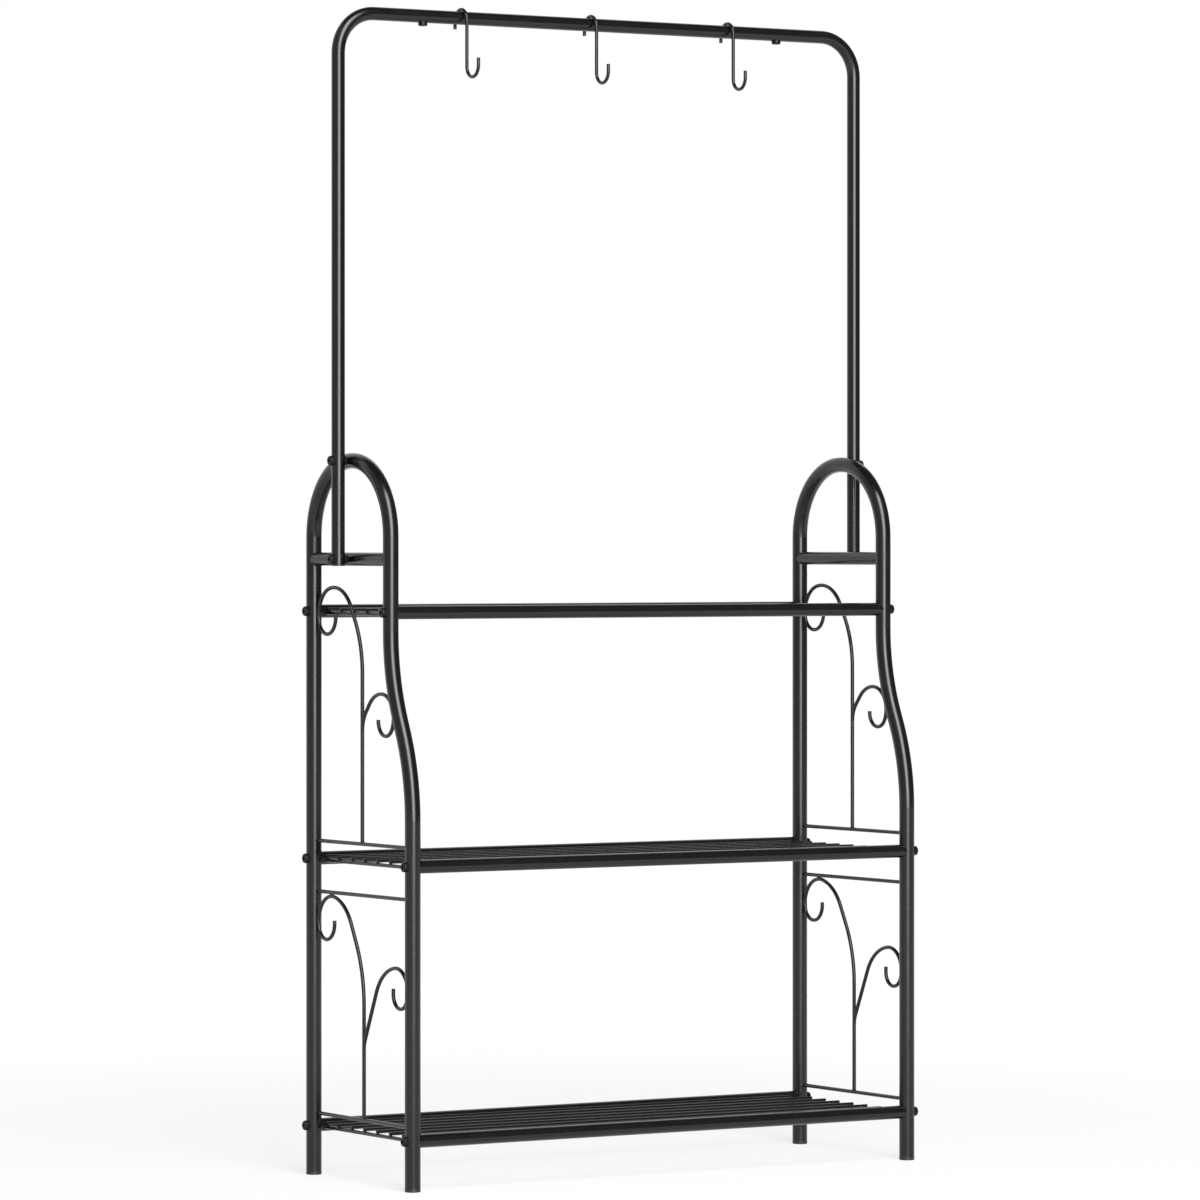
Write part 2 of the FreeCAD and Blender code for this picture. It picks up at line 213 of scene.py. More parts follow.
class PlantStandStage(bpy.types.PropertyGroup):
    """Floor, light and camera."""

    floor_width: FloatProperty(
        name="Floor Width", description="Width of the pale floor",
        subtype="DISTANCE", unit="LENGTH", min=4, max=200, default=60)
    floor_grey: FloatProperty(
        name="Floor Grey", description="How much of the light the floor gives back",
        subtype="FACTOR", min=0, max=1, default=0.25)
    floor_glow: FloatProperty(
        name="Floor Glow", description="White added to the floor round the stand, where its shadow falls",
        subtype="FACTOR", min=0, max=1, default=0.78)
    backdrop_glow: FloatProperty(
        name="Backdrop Glow", description="White added to the floor far from the stand",
        subtype="FACTOR", min=0, max=1, default=0.96)
    glow_start: FloatProperty(
        name="Glow Start", description="Distance from the stand's middle at which the floor gets whiter",
        subtype="DISTANCE", unit="LENGTH", min=0, max=50, default=0.7)
    glow_end: FloatProperty(
        name="Glow End", description="Distance from the stand's middle at which the floor is fully white",
        subtype="DISTANCE", unit="LENGTH", min=0.1, max=100, default=3.5)
    camera_place: FloatVectorProperty(
        name="Camera Place", description="Where the camera stands",
        subtype="TRANSLATION", unit="LENGTH", size=3, default=(-4.6075, -7.3715, 0.8961))
    camera_heading: FloatProperty(
        name="Camera Heading", description="Angle of the level view from straight back towards the right",
        subtype="ANGLE", unit="ROTATION", default=math.radians(31.877))
    lens: FloatProperty(
        name="Lens", description="Focal length on a 36 mm wide sensor",
        subtype="DISTANCE_CAMERA", min=20, max=400, default=181.88)
    lens_shift: FloatProperty(
        name="Lens Shift", description="How far the picture is moved up, as a share of its width",
        min=-0.5, max=0.5, default=-0.0484)
    key_power: FloatProperty(
        name="Key Power", description="Power of the soft light beside the camera",
        subtype="POWER", unit="POWER", min=0, max=5000, default=620)
    key_width: FloatProperty(
        name="Key Width", description="Width of the soft light beside the camera",
        subtype="DISTANCE", unit="LENGTH", min=0.1, max=10, default=2.7)
    key_height: FloatProperty(
        name="Key Height", description="Height of the soft light beside the camera",
        subtype="DISTANCE", unit="LENGTH", min=0.1, max=12, default=8.4)
    key_distance: FloatProperty(
        name="Key Distance", description="Distance of the soft light from the stand",
        subtype="DISTANCE", unit="LENGTH", min=1, max=50, default=6.0)
    key_side: FloatProperty(
        name="Key Side", description="Angle of the soft light to the right of the camera",
        subtype="ANGLE", unit="ROTATION", default=math.radians(18))
    key_rise: FloatProperty(
        name="Key Rise", description="Angle of the soft light above the horizon",
        subtype="ANGLE", unit="ROTATION", default=math.radians(29))
    sky_light: FloatProperty(
        name="Sky Light", description="Strength of the even light from all round",
        min=0, max=2, default=0.2)
    # The next three settings shape a painted reflection of the soft lamp on the studio wall
    painted_reflection_glow: FloatProperty(
        name="Softbox Glow", description="Brightness of the soft light's reflection at its middle",
        min=0, max=50, default=12.5)
    painted_reflection_spread: FloatProperty(
        name="Softbox Spread", description="Distance to each side over which that brightness fades",
        subtype="DISTANCE", unit="LENGTH", min=0.1, max=30, default=6.6)
    painted_reflection_top: FloatProperty(
        name="Softbox Top", description="Angle above the horizon at which the soft light's reflection ends",
        subtype="ANGLE", unit="ROTATION", default=math.radians(62))
    room_radius: FloatProperty(
        name="Room Radius", description="Distance of the dim studio walls, which only reflections show",
        subtype="DISTANCE", unit="LENGTH", min=8, max=100, default=14)
    room_left: FloatProperty(
        name="Room Left", description="Brightness of the studio walls to the left of the camera",
        subtype="FACTOR", min=0, max=1, default=0.55)
    room_right: FloatProperty(
        name="Room Right", description="Brightness of the studio walls to the right of the camera",
        subtype="FACTOR", min=0, max=1, default=0.16)
    room_top: FloatProperty(
        name="Room Top", description="Brightness of the studio ceiling",
        subtype="FACTOR", min=0, max=1, default=0.06)
    ceiling_rise: FloatProperty(
        name="Ceiling Rise", description="Angle above the horizon at which the studio ceiling starts",
        subtype="ANGLE", unit="ROTATION", default=math.radians(55))


class PlantStandSettings(bpy.types.PropertyGroup):
    """All settings of the plant stand."""

    finish: PointerProperty(
        name="Finish", description="Colours and gloss of the stand's surfaces", type=PlantStandFinish)
    welds: PointerProperty(
        name="Welds", description="Sizes of the weld beads under the coat", type=PlantStandWelds)
    stage: PointerProperty(
        name="Stage", description="Floor, light and camera", type=PlantStandStage)


def nodes_with(endings):
    """The names of the CAD nodes with one of these endings, in order."""
    return [name for name in sorted(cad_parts) if name.endswith(endings)]


def middle(node):
    """Middle of a CAD node's box."""
    low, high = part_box(node)
    return (low + high) / 2


def radius_of(node):
    """Radius of a straight bar or tube, from the thin way of its box."""
    low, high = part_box(node)
    return min(high - low) / 2


def link(tree, output, node, socket):
    """Joins an output to an input of a node."""
    tree.links.new(output, node.inputs[socket])


def feed(tree, value, socket):
    """Gives a socket a number or the output of another node."""
    if isinstance(value, bpy.types.NodeSocket):
        tree.links.new(value, socket)
    else:
        socket.default_value = value


def maths(tree, operation, *values):
    """Result of a math node."""
    node = tree.nodes.new("ShaderNodeMath")
    node.operation = operation
    for socket, value in zip(node.inputs, values):
        feed(tree, value, socket)
    return node.outputs[0]


def map_range(tree, value, low, high, start, end):
    """Smooth step of a value, from start at low to end at high."""
    step = tree.nodes.new("ShaderNodeMapRange")
    step.interpolation_type = "SMOOTHSTEP"
    for socket, given in (("Value", value), ("From Min", low), ("From Max", high),
                          ("To Min", start), ("To Max", end)):
        feed(tree, given, step.inputs[socket])
    return step.outputs["Result"]


def along_axis(tree, place, axis):
    """How far a place lies along an axis."""
    share = tree.nodes.new("ShaderNodeVectorMath")
    share.operation = "DOT_PRODUCT"
    feed(tree, place, share.inputs[0])
    feed(tree, axis, share.inputs[1])
    return share.outputs["Value"]


def coat_grain_group():
    """Shared effect: fine orange peel, with slow changes of gloss and tone."""
    name = "Coat Grain"
    if name in bpy.data.node_groups:
        return bpy.data.node_groups[name]
    group = bpy.data.node_groups.new(name, "ShaderNodeTree")
    sockets = group.interface
    for label, kind in (("Colour", "NodeSocketColor"), ("Lighter", "NodeSocketColor"),
                        ("Smooth", "NodeSocketFloat"), ("Rough", "NodeSocketFloat"),
                        ("Grain Scale", "NodeSocketFloat"), ("Patch Scale", "NodeSocketFloat")):
        sockets.new_socket(name=label, in_out="INPUT", socket_type=kind)
    for label, kind in (("Colour", "NodeSocketColor"), ("Roughness", "NodeSocketFloat"),
                        ("Height", "NodeSocketFloat")):
        sockets.new_socket(name=label, in_out="OUTPUT", socket_type=kind)
    nodes = group.nodes
    inside = nodes.new("NodeGroupInput")
    outside = nodes.new("NodeGroupOutput")
    place = nodes.new("ShaderNodeTexCoord")
    grain = nodes.new("ShaderNodeTexNoise")
    grain.inputs["Detail"].default_value = GRAIN_LAYERS
    patches = nodes.new("ShaderNodeTexNoise")
    patches.inputs["Detail"].default_value = PATCH_LAYERS
    tone = nodes.new("ShaderNodeMix")
    tone.data_type = "RGBA"
    roughness = nodes.new("ShaderNodeMapRange")
    roughness.inputs["From Min"].default_value = PATCH_LOW
    roughness.inputs["From Max"].default_value = PATCH_HIGH
    for noise, scale in ((grain, "Grain Scale"), (patches, "Patch Scale")):
        link(group, place.outputs["Object"], noise, "Vector")
        link(group, inside.outputs[scale], noise, "Scale")
    link(group, patches.outputs["Fac"], tone, "Factor")
    link(group, inside.outputs["Colour"], tone, MIX_FIRST)
    link(group, inside.outputs["Lighter"], tone, MIX_SECOND)
    link(group, patches.outputs["Fac"], roughness, "Value")
    link(group, inside.outputs["Smooth"], roughness, "To Min")
    link(group, inside.outputs["Rough"], roughness, "To Max")
    link(group, tone.outputs[MIX_RESULT], outside, "Colour")
    link(group, roughness.outputs["Result"], outside, "Roughness")
    link(group, grain.outputs["Fac"], outside, "Height")
    return group


def grained_material(name, colour, roughness, lighter, spread, grain_scale, patch_scale, peel,
                     metallic=0.0, shine=0.5):
    """Material with the shared grain.

    Its pale patches are lighter times as bright as its colour, its roughness differs by the spread
    to both sides, and its bumps are as high as the peel, in metres.
    """
    if name in bpy.data.materials:
        return bpy.data.materials[name]
    material = bpy.data.materials.new(name)
    material.use_nodes = True
    material.diffuse_color = (*colour, 1.0)
    tree = material.node_tree
    shader = tree.nodes["Principled BSDF"]
    shader.inputs["Metallic"].default_value = metallic
    shader.inputs["Specular IOR Level"].default_value = shine
    grain = tree.nodes.new("ShaderNodeGroup")
    grain.node_tree = coat_grain_group()
    grain.inputs["Colour"].default_value = (*colour, 1.0)
    grain.inputs["Lighter"].default_value = (*[min(1.0, channel * lighter) for channel in colour], 1.0)
    grain.inputs["Smooth"].default_value = roughness - spread
    grain.inputs["Rough"].default_value = roughness + spread
    grain.inputs["Grain Scale"].default_value = grain_scale
    grain.inputs["Patch Scale"].default_value = patch_scale
    bump = tree.nodes.new("ShaderNodeBump")
    bump.inputs["Strength"].default_value = PEEL_STRENGTH
    bump.inputs["Distance"].default_value = peel
    link(tree, grain.outputs["Colour"], shader, "Base Color")
    link(tree, grain.outputs["Roughness"], shader, "Roughness")
    link(tree, grain.outputs["Height"], bump, "Height")
    link(tree, bump.outputs["Normal"], shader, "Normal")
    return material


def tube_coat(finish):
    """Satin powder coat of the tubes and the welds."""
    return grained_material(
        "Black Powder Coat", finish.coat, finish.coat_roughness, lighter=1.35, spread=0.025,
        grain_scale=900, patch_scale=35, peel=3e-6, shine=finish.coat_shine)


def wire_coat(finish):
    """Satin powder coat of the wires."""
    return grained_material(
        "Black Wire Coat", finish.coat, finish.coat_roughness + WIRE_ROUGHER, lighter=1.35, spread=0.03,
        grain_scale=1100, patch_scale=70, peel=3e-6, shine=finish.coat_shine)


def hook_coat(finish):
    """Satin powder coat of the hooks."""
    return grained_material(
        "Black Hook Coat", finish.coat, finish.coat_roughness + HOOK_ROUGHER, lighter=1.4, spread=0.04,
        grain_scale=1100, patch_scale=120, peel=3e-6, shine=finish.coat_shine)


def bolt_black(finish):
    """Blackened steel of the bolts and screws."""
    return grained_material(
        "Blackened Bolt", finish.bolt, finish.bolt_roughness, lighter=1.6, spread=0.05,
        grain_scale=1500, patch_scale=220, peel=2e-6, shine=finish.bolt_shine)


def moulded_plastic(finish):
    """Moulded plastic of the feet and end plugs."""
    return grained_material(
        "Black Moulded Plastic", finish.plastic, finish.plastic_roughness, lighter=1.4, spread=0.05,
        grain_scale=1600, patch_scale=130, peel=8e-6)


def spacer_rubber(finish):
    """Dull rubber of the spacers."""
    return grained_material(
        "Black Spacer Rubber", finish.rubber, finish.rubber_roughness, lighter=1.5, spread=0.06,
        grain_scale=1400, patch_scale=160, peel=6e-6, shine=finish.rubber_shine)


def zinc_plate(finish):
    """Zinc plate of the steel pieces inside the tubes."""
    return grained_material(
        "Zinc Plate", finish.steel, finish.steel_roughness, lighter=1.25, spread=0.08,
        grain_scale=700, patch_scale=260, peel=3e-6, metallic=1.0)


def give_finish(endings, material):
    """Puts a material on every CAD node with one of these endings."""
    names = nodes_with(endings)
    if not names:
        raise RuntimeError(f"no CAD node ends in {endings}")
    for name in names:
        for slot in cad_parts[name].material_slots:
            slot.material = material


def saddle(place, big_axis, outward, big_r, small_r, steps):
    """Closed line where a small round bar, along outward, meets a big one through the same place."""
    across = big_axis.cross(outward)
    loop = []
    for k in range(steps):
        turn = math.tau * k / steps
        side = small_r * math.sin(turn)
        spoke = big_axis * math.cos(turn) + across * math.sin(turn)
        reach = math.sqrt(big_r ** 2 - side ** 2)
        loop.append((place + spoke * small_r + outward * reach, spoke))
    return loop


def add_bead(bm, loop, outward, thickness, welds):
    """Closed rippled bead along a loop of (point, direction away from the small bar)."""
    count = len(loop)
    length = sum((loop[k][0] - loop[k - 1][0]).length for k in range(count))
    ripples = max(FEWEST_RIPPLES, round(length / welds.ripple_pitch))
    rings = []
    for k, (point, spoke) in enumerate(loop):
        along = (loop[(k + 1) % count][0] - loop[k - 1][0]).normalized()
        lift = (spoke + outward).normalized()
        side = along.cross(lift)
        swell = thickness * (1 + welds.ripple * math.sin(math.tau * ripples * k / count))
        centre = point + lift * thickness * BEAD_LIFT
        ring = []
        for j in range(BEAD_SIDES):
            turn = math.tau * j / BEAD_SIDES
            ring.append(bm.verts.new(centre + (lift * math.cos(turn) + side * math.sin(turn)) * swell))
        rings.append(ring)
    for k in range(count):
        near, far = rings[k - 1], rings[k]
        for j in range(BEAD_SIDES):
            after = (j + 1) % BEAD_SIDES
            bm.faces.new((near[j], near[after], far[after], far[j]))


def add_tack(bm, place, along, toward, kind, wire_r, welds):
    """Small uneven nugget where two round bars touch; toward points from one bar to the other."""
    length_share, width_share, depth_share = kind
    length = welds.tack_length * length_share
    width = wire_r * width_share
    depth = wire_r * depth_share
    across = along.cross(toward).normalized()
    made = bmesh.ops.create_icosphere(bm, subdivisions=TACK_FINENESS, radius=0.5)
    wave_x, wave_y, wave_z = LUMP_WAVES
    for vert in made["verts"]:
        ball = vert.co.copy()
        lumps = 1 + LUMP_HEIGHT * math.sin(wave_x * ball.x + wave_y * ball.y) * math.cos(wave_z * ball.z)
        spot = along * ball.x * length + across * ball.y * width + toward * ball.z * depth
        vert.co = place + spot * lumps


def touch_place(node, other):
    """Place where one CAD node comes nearest to another, and the way from the first to the second."""
    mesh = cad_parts[other].data
    tree = BVHTree.FromPolygons([v.co for v in mesh.vertices], [p.vertices[:] for p in mesh.polygons])
    best = None
    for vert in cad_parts[node].data.vertices:
        found, _, _, distance = tree.find_nearest(vert.co)
        if best is None or distance < best[0]:
            best = (distance, vert.co.copy(), found)
    _, start, end = best
    return (start + end) / 2, (end - start).normalized()


def weld_object(name, bm, material):
    """Makes one smooth mesh piece from beads and tacks, fixed to the stand."""
    bmesh.ops.recalc_face_normals(bm, faces=bm.faces)
    for face in bm.faces:
        face.smooth = True
    mesh = bpy.data.meshes.new(name)
    bm.to_mesh(mesh)
    bm.free()
    mesh.materials.append(material)
    piece = bpy.data.objects.new(name, mesh)
    bpy.context.scene.collection.objects.link(piece)
    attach(piece, STAND)
    return piece


def bead_frame_bars(bm, side, welds):
    """Beads round both ends of a side frame's cross bar and panel wires."""
    back_y = middle("top_shelf_back_rail").y
    upper_front_y = middle("top_shelf_front_rail").y
    front_y = middle("bottom_shelf_front_rail").y
    foot_low, foot_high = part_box(side + "_back_foot")
    leg_r = (foot_high.x - foot_low.x) / 2
    bars = [(side + "_cross_bar", upper_front_y, welds.tube_bead)]
    bars += [(f"{side}_{wire}", front_y, welds.wire_bead) for wire in PANEL_WIRES]
    for bar, front_end, bead in bars:
        centre = middle(bar)
        for y, inward in ((front_end, Y_AXIS), (back_y, -Y_AXIS)):
            place = Vector((centre.x, y, centre.z))
            loop = saddle(place, Z_AXIS, inward, leg_r, radius_of(bar), welds.segments)
            add_bead(bm, loop, inward, bead, welds)


def tack_scrolls(bm, side, level, welds):
    """Tacks of one stem and its branch: on the base wire, at their fork, on the legs and on the top wire."""
    stem = f"{side}_{level}_stem_scroll"
    branch = f"{side}_{level}_branch_scroll"
    base = f"{side}_{level}_base_wire"
    base_middle = middle(base)
    wire_r = radius_of(base)
    stem_low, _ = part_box(stem)
    foot = Vector((base_middle.x, stem_low.y + wire_r, base_middle.z + wire_r))
    add_tack(bm, foot, Y_AXIS, Z_AXIS, FOOT_TACK, wire_r, welds)

    branch_points = [vert.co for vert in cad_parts[branch].data.vertices]
    fork_start = stem_low.y - wire_r * FORK_MARGIN
    fork_z = min(point.z for point in branch_points if point.y > fork_start)
    fork = Vector((base_middle.x, stem_low.y, fork_z))
    add_tack(bm, fork, Z_AXIS, Y_AXIS, FORK_TACK, wire_r, welds)

    for scroll in (stem, branch):
        place, toward = touch_place(scroll, side + "_side_tube")
        add_tack(bm, place, toward.cross(X_AXIS).normalized(), toward, SIDE_TACK, wire_r, welds)
    if level == "lower":
        place, toward = touch_place(stem, side + "_lower_top_wire")
        add_tack(bm, place, Y_AXIS, toward, SIDE_TACK, wire_r, welds)


def weld_frame(side, welds, material):
    """Beads and tacks of one side frame: cross bar, panel wires and scrolls."""
    bm = bmesh.new()
    bead_frame_bars(bm, side, welds)
    for level in LEVELS:
        tack_scrolls(bm, side, level, welds)
    return weld_object(side + "_frame_welds", bm, material)


def end_bar_loop(end_bar, rail, inward, welds):
    """Closed line where an end bar, a little off the rail's middle height, meets the rail."""
    bar_middle = middle(end_bar)
    rail_middle = middle(rail)
    rail_r = radius_of(rail)
    place = Vector((bar_middle.x, rail_middle.y, rail_middle.z))
    lift = bar_middle.z - rail_middle.z
    least = math.sqrt(rail_r ** 2 - lift ** 2) * LEAST_REACH
    loop = []
    for point, spoke in saddle(place, X_AXIS, inward, rail_r, radius_of(end_bar), welds.segments):
        height = point.z - rail_middle.z + lift
        reach = math.sqrt(max(rail_r ** 2 - height ** 2, least ** 2))
        spot = Vector((point.x, rail_middle.y + inward.y * reach, rail_middle.z + height))
        loop.append((spot, spoke))
    return loop


def weld_shelf(shelf, welds, material):
    """Beads where the end bars meet the rails, and tacks where the wires lie on the end bars."""
    bm = bmesh.new()
    wires_low, wires_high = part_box(shelf + "_wires")
    wire_r = (wires_high.z - wires_low.z) / 2
    first_y = wires_low.y + wire_r
    span = wires_high.y - wire_r - first_y
    gaps = round(span / welds.shelf_wire_pitch)
    for side in SIDES:
        end_bar = f"{shelf}_{side}_end_bar"
        for rail, inward in ((shelf + "_front_rail", Y_AXIS), (shelf + "_back_rail", -Y_AXIS)):
            add_bead(bm, end_bar_loop(end_bar, rail, inward, welds), inward, welds.wire_bead, welds)
        for k in range(gaps + 1):
            place = Vector((middle(end_bar).x, first_y + k * span / gaps, wires_low.z))
            add_tack(bm, place, X_AXIS, Z_AXIS, SHELF_TACK, wire_r, welds)
    return weld_object(shelf + "_welds", bm, material)


def look_rotation(direction):
    """Rotation of a lamp or camera that looks in a direction."""
    return direction.to_track_quat("-Z", "Y").to_euler()


def shown_ray(tree):
    """1 for rays that show the background: from the camera, off a gloss or through glass."""
    path = tree.nodes.new("ShaderNodeLightPath")
    value = path.outputs["Is Camera Ray"]
    for name in ("Is Glossy Ray", "Is Transmission Ray"):
        value = maths(tree, "MAXIMUM", value, path.outputs[name])
    return value


def floor_material(stage):
    """Pale floor that looks white to the camera and in reflections, and still takes the stand's shadow."""
    material = bpy.data.materials.new("Pale Studio Floor")
    material.use_nodes = True
    tree = material.node_tree
    tree.nodes.clear()
    output = tree.nodes.new("ShaderNodeOutputMaterial")
    matt = tree.nodes.new("ShaderNodeBsdfDiffuse")
    matt.inputs["Color"].default_value = (stage.floor_grey, stage.floor_grey, stage.floor_grey, 1)
    glow = tree.nodes.new("ShaderNodeEmission")
    place = tree.nodes.new("ShaderNodeTexCoord")
    distance = tree.nodes.new("ShaderNodeVectorMath")
    distance.operation = "LENGTH"
    link(tree, place.outputs["Object"], distance, 0)
    white = map_range(tree, distance.outputs["Value"], stage.glow_start, stage.glow_end,
                      stage.floor_glow, stage.backdrop_glow)
    link(tree, maths(tree, "MULTIPLY", shown_ray(tree), white), glow, "Strength")
    both = tree.nodes.new("ShaderNodeAddShader")
    link(tree, matt.outputs[0], both, 0)
    link(tree, glow.outputs[0], both, 1)
    # From below, the floor is clear
    clear = tree.nodes.new("ShaderNodeBsdfTransparent")
    under = tree.nodes.new("ShaderNodeNewGeometry")
    choice = tree.nodes.new("ShaderNodeMixShader")
    link(tree, under.outputs["Backfacing"], choice, 0)
    link(tree, both.outputs[0], choice, 1)
    link(tree, clear.outputs[0], choice, 2)
    link(tree, choice.outputs[0], output, "Surface")
    return material


def studio_world(stage):
    """Even sky light, seen as a white background."""
    world = bpy.data.worlds.new("Soft Studio")
    bpy.context.scene.world = world
    world.use_nodes = True
    tree = world.node_tree
    background = tree.nodes["Background"]
    background.inputs["Color"].default_value = (1, 1, 1, 1)
    link(tree, map_range(tree, shown_ray(tree), 0, 1, stage.sky_light, 1), background, "Strength")


def room_material(stage, left, key_way):
    """Dim studio wall, lighter to the left of the camera and dark on top, with a painted reflection of the
    soft lamp: a bright upright stripe added to the wall's glow.
    """
    material = bpy.data.materials.new("Dim Studio Wall")
    material.use_nodes = True
    tree = material.node_tree
    tree.nodes.clear()
    output = tree.nodes.new("ShaderNodeOutputMaterial")
    glow = tree.nodes.new("ShaderNodeEmission")
    place = tree.nodes.new("ShaderNodeTexCoord").outputs["Object"]
    radius = stage.room_radius

    sideways = along_axis(tree, place, left)
    wall = map_range(tree, sideways, RIGHT_WALL * radius, LEFT_WALL * radius,
                     stage.room_right, stage.room_left)
    low = radius * math.sin(stage.ceiling_rise - SOFT_EDGE)
    high = radius * math.sin(stage.ceiling_rise + SOFT_EDGE)
    room = map_range(tree, along_axis(tree, place, Z_AXIS), low, high, wall, stage.room_top)

    # Painted reflection: a bright upright stripe in the soft lamp's direction, fading to both sides and
    # ending near its top angle; it stands in for the lamp, which reflections don't see
    aside = maths(tree, "ABSOLUTE", along_axis(tree, place, Z_AXIS.cross(key_way)))
    painted_band = map_range(tree, aside, 0, stage.painted_reflection_spread, stage.painted_reflection_glow, 0)
    near = radius * math.cos(stage.painted_reflection_top + SOFT_EDGE)
    far = radius * math.cos(stage.painted_reflection_top - SOFT_EDGE)
    below_top = map_range(tree, along_axis(tree, place, key_way), near, far, 0, 1)
    painted_lamp_reflection = maths(tree, "MULTIPLY", painted_band, below_top)
    link(tree, maths(tree, "ADD", room, painted_lamp_reflection), glow, "Strength")
    link(tree, glow.outputs[0], output, "Surface")
    return material


def dome_patch(stage, forward, left, turns, rises):
    """Points and faces of a patch of the studio dome between two turns to the left and two rises."""
    points = []
    for i in range(DOME_COLUMNS + 1):
        turn = turns[0] + (turns[1] - turns[0]) * i / DOME_COLUMNS
        ground = forward * math.cos(turn) + left * math.sin(turn)
        for j in range(DOME_ROWS + 1):
            rise = rises[0] + (rises[1] - rises[0]) * j / DOME_ROWS
            points.append((ground * math.cos(rise) + Z_AXIS * math.sin(rise)) * stage.room_radius)
    faces = []
    for i in range(DOME_COLUMNS):
        for j in range(DOME_ROWS):
            corner = i * (DOME_ROWS + 1) + j
            beside = corner + DOME_ROWS + 1
            faces.append((corner, beside, beside + 1, corner + 1))
    return points, faces


def studio_room(stage, forward, left, key_way):
    """Walls round the camera's side of the stand, and a ceiling; only reflections show them."""
    points, faces = dome_patch(stage, forward, left, (WALL_START, WALL_END), (0, stage.ceiling_rise))
    top_points, top_faces = dome_patch(stage, forward, left, (0, math.tau), (stage.ceiling_rise, DOME_TOP))
    faces += [[len(points) + k for k in face] for face in top_faces]
    mesh = bpy.data.meshes.new("studio_room")
    mesh.from_pydata(points + top_points, [], faces)
    mesh.materials.append(room_material(stage, left, key_way))
    room = bpy.data.objects.new("studio_room", mesh)
    room.visible_camera = False
    room.visible_diffuse = False
    room.visible_shadow = False
    room.visible_transmission = False
    return room


def studio_floor(stage):
    """Wide flat floor under the stand."""
    half = stage.floor_width / 2
    corners = [(-half, -half, 0), (half, -half, 0), (half, half, 0), (-half, half, 0)]
    mesh = bpy.data.meshes.new("studio_floor")
    mesh.from_pydata(corners, [], [(0, 1, 2, 3)])
    mesh.materials.append(floor_material(stage))
    return bpy.data.objects.new("studio_floor", mesh)


def key_softbox(stage, key_way):
    """Tall soft lamp that faces the stand; a painted reflection on the room's wall stands in for it in
    reflections.
    """
    toward = (key_way * math.cos(stage.key_rise) + Z_AXIS * math.sin(stage.key_rise)).normalized()
    key_data = bpy.data.lights.new("key_softbox", "AREA")
    key_data.shape = "RECTANGLE"
    key_data.size = stage.key_width
    key_data.size_y = stage.key_height
    key_data.energy = stage.key_power
    key = bpy.data.objects.new("key_softbox", key_data)
    key.location = (CAD_BOX[0] + CAD_BOX[1]) / 2 + toward * stage.key_distance
    key.rotation_euler = look_rotation(-toward)
    key.visible_camera = False
    # Reflections show the wall's painted reflection instead of this lamp
    key.visible_glossy = False
    return key


def photo_camera(stage, forward):
    """Level camera at the photograph's viewing angle."""
    camera_data = bpy.data.cameras.new("photo_camera")
    camera_data.sensor_fit = "HORIZONTAL"
    camera_data.sensor_width = SENSOR_WIDTH
    camera_data.lens = stage.lens
    camera_data.shift_y = stage.lens_shift
    camera_data.clip_start = CLIP_START
    camera_data.clip_end = CLIP_END
    camera = bpy.data.objects.new("photo_camera", camera_data)
    camera.location = stage.camera_place
    camera.rotation_euler = look_rotation(forward)
    return camera


class PLANTSTAND_OT_coat_tubes(bpy.types.Operator):
    """Give the side tubes, cross bars, shelf rails and hanging rail their satin black coat"""

    bl_idname = "plant_stand.coat_tubes"
    bl_label = "Coat Tubes"
    bl_options = {"REGISTER", "UNDO"}

    def execute(self, context):
        give_finish(TUBES, tube_coat(context.scene.plant_stand.finish))
        return {"FINISHED"}


class PLANTSTAND_OT_coat_wires(bpy.types.Operator):
    """Give the scrolls, panel wires, end bars and shelf wires their satin black coat"""

    bl_idname = "plant_stand.coat_wires"
    bl_label = "Coat Wires"
    bl_options = {"REGISTER", "UNDO"}

    def execute(self, context):
        give_finish(WIRES, wire_coat(context.scene.plant_stand.finish))
        return {"FINISHED"}


class PLANTSTAND_OT_coat_hooks(bpy.types.Operator):
    """Give the S-hooks their satin black coat"""

    bl_idname = "plant_stand.coat_hooks"
    bl_label = "Coat Hooks"
    bl_options = {"REGISTER", "UNDO"}

    def execute(self, context):
        give_finish(HOOKS, hook_coat(context.scene.plant_stand.finish))
        return {"FINISHED"}


class PLANTSTAND_OT_blacken_bolts(bpy.types.Operator):
    """Blacken the button-head bolts and the screws of the hanging rail"""

    bl_idname = "plant_stand.blacken_bolts"
    bl_label = "Blacken Bolts"
    bl_options = {"REGISTER", "UNDO"}

    def execute(self, context):
        give_finish(BOLTS, bolt_black(context.scene.plant_stand.finish))
        return {"FINISHED"}


class PLANTSTAND_OT_mould_plastic(bpy.types.Operator):
    """Give the feet and end plugs a moulded plastic surface, and the spacers a rubber one"""

    bl_idname = "plant_stand.mould_plastic"
    bl_label = "Mould Plastic"
    bl_options = {"REGISTER", "UNDO"}

    def execute(self, context):
        finish = context.scene.plant_stand.finish
        give_finish(PLASTIC, moulded_plastic(finish))
        give_finish(RUBBER, spacer_rubber(finish))
        return {"FINISHED"}


class PLANTSTAND_OT_plate_steel(bpy.types.Operator):
    """Zinc-plate the plugs, spigots and inserts inside the tubes"""

    bl_idname = "plant_stand.plate_steel"
    bl_label = "Plate Inner Steel"
    bl_options = {"REGISTER", "UNDO"}

    def execute(self, context):
        give_finish(INNER_STEEL, zinc_plate(context.scene.plant_stand.finish))
        return {"FINISHED"}


class PLANTSTAND_OT_weld_frames(bpy.types.Operator):
    """Add the weld beads of the two side frames"""

    bl_idname = "plant_stand.weld_frames"
    bl_label = "Weld Side Frames"
    bl_options = {"REGISTER", "UNDO"}

    def execute(self, context):
        settings = context.scene.plant_stand
        for side in SIDES:
            weld_frame(side, settings.welds, tube_coat(settings.finish))
        return {"FINISHED"}


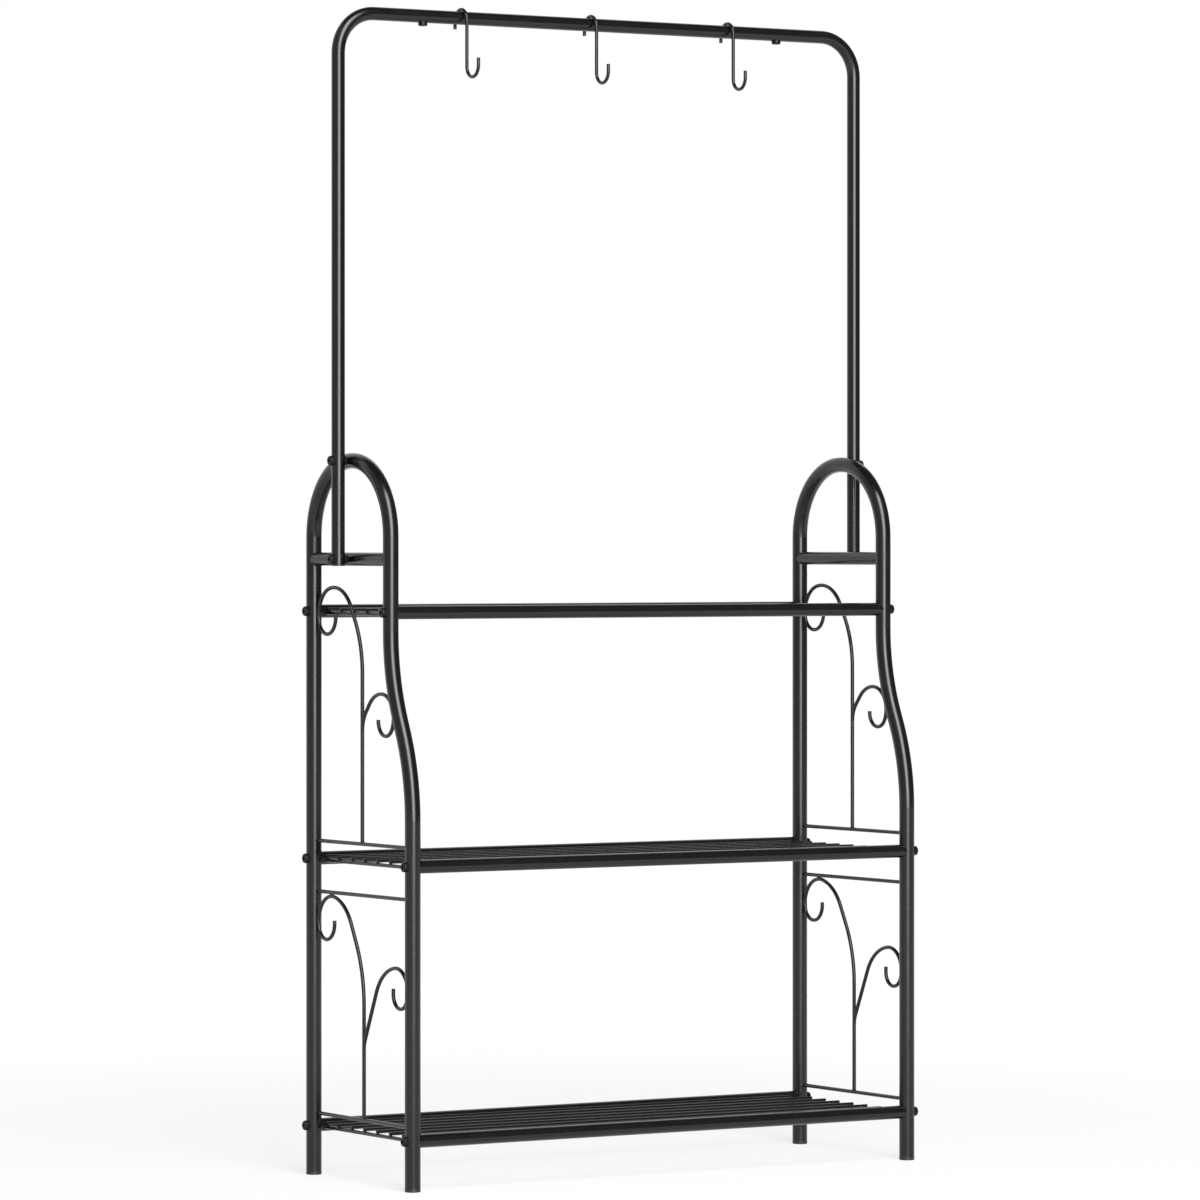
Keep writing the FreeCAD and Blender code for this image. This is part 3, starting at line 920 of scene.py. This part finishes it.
class PLANTSTAND_OT_weld_shelves(bpy.types.Operator):
    """Add the weld beads of the three shelves"""

    bl_idname = "plant_stand.weld_shelves"
    bl_label = "Weld Shelves"
    bl_options = {"REGISTER", "UNDO"}

    def execute(self, context):
        settings = context.scene.plant_stand
        for shelf in SHELVES:
            weld_shelf(shelf, settings.welds, tube_coat(settings.finish))
        return {"FINISHED"}


class PLANTSTAND_OT_set_stage(bpy.types.Operator):
    """Set up the pale floor, the soft studio light and the camera"""

    bl_idname = "plant_stand.set_stage"
    bl_label = "Set Stage"
    bl_options = {"REGISTER", "UNDO"}

    def execute(self, context):
        stage = context.scene.plant_stand.stage
        heading = stage.camera_heading
        forward = Vector((math.sin(heading), math.cos(heading), 0))
        left = Z_AXIS.cross(forward)
        key_way = Matrix.Rotation(stage.key_side, 3, "Z") @ -forward
        context.scene.view_settings.view_transform = "Standard"
        studio_world(stage)
        room = studio_room(stage, forward, left, key_way)
        floor = studio_floor(stage)
        key = key_softbox(stage, key_way)
        camera = photo_camera(stage, forward)
        for thing in (room, floor, key, camera):
            context.scene.collection.objects.link(thing)
        context.scene.camera = camera
        return {"FINISHED"}


class PLANTSTAND_PT_panel(bpy.types.Panel):
    """Settings and steps of the plant stand"""

    bl_label = "Plant Stand"
    bl_idname = "PLANTSTAND_PT_panel"
    bl_space_type = "VIEW_3D"
    bl_region_type = "UI"
    bl_category = "Plant Stand"

    def draw(self, context):
        settings = context.scene.plant_stand
        for title, group, steps in (
                ("Finish", settings.finish, FINISH_STEPS),
                ("Welds", settings.welds, WELD_STEPS),
                ("Stage", settings.stage, STAGE_STEPS)):
            box = self.layout.box()
            box.label(text=title)
            for name in group.__annotations__:
                box.prop(group, name)
            for step in steps:
                box.operator(step.bl_idname)


FINISH_STEPS = (PLANTSTAND_OT_coat_tubes, PLANTSTAND_OT_coat_wires, PLANTSTAND_OT_coat_hooks,
                PLANTSTAND_OT_blacken_bolts, PLANTSTAND_OT_mould_plastic, PLANTSTAND_OT_plate_steel)
WELD_STEPS = (PLANTSTAND_OT_weld_frames, PLANTSTAND_OT_weld_shelves)
STAGE_STEPS = (PLANTSTAND_OT_set_stage,)
GROUPS = (PlantStandFinish, PlantStandWelds, PlantStandStage, PlantStandSettings)
CLASSES = GROUPS + FINISH_STEPS + WELD_STEPS + STAGE_STEPS + (PLANTSTAND_PT_panel,)


def register():
    for cls in CLASSES:
        bpy.utils.register_class(cls)
    bpy.types.Scene.plant_stand = PointerProperty(
        name="Plant Stand", description="All settings of the plant stand", type=PlantStandSettings)


def unregister():
    del bpy.types.Scene.plant_stand
    for cls in reversed(CLASSES):
        bpy.utils.unregister_class(cls)


def main():
    register()
    bpy.ops.plant_stand.coat_tubes()
    bpy.ops.plant_stand.coat_wires()
    bpy.ops.plant_stand.coat_hooks()
    bpy.ops.plant_stand.blacken_bolts()
    bpy.ops.plant_stand.mould_plastic()
    bpy.ops.plant_stand.plate_steel()
    bpy.ops.plant_stand.weld_frames()
    bpy.ops.plant_stand.weld_shelves()
    bpy.ops.plant_stand.set_stage()


if __name__ == "__main__":
    main()
